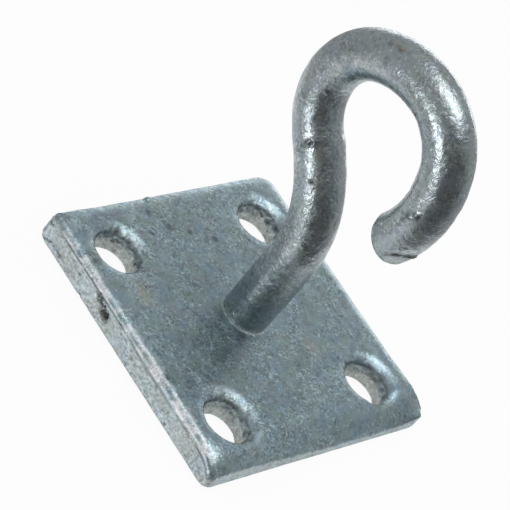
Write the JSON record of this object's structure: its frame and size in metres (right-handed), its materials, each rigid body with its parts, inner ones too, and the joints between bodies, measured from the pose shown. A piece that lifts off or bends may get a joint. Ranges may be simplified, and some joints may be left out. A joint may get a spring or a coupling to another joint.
{
  "type": "hook on plate",
  "caption": "Galvanised open hook bent from round bar and riveted into a square screw-on plate, for hanging a gate eye, ring, chain or rope.",
  "frame": {"origin": "centre of the plate's back face, where it lies on the wall or post", "axes": "+Z out of the wall, along the shank; the hook is bent in the XZ plane with its point on the +X side; +Y completes the right-handed set"},
  "size_m": [0.05, 0.05, 0.0634],
  "materials": {
    "galvanised_steel": "hot-dip zinc, mottled satin blue-grey with fine lumps and pits"
  },
  "bodies": {
    "root": {"mounting_plate": "galvanised_steel", "hook_bar": "galvanised_steel"}
  },
  "joints": []
}
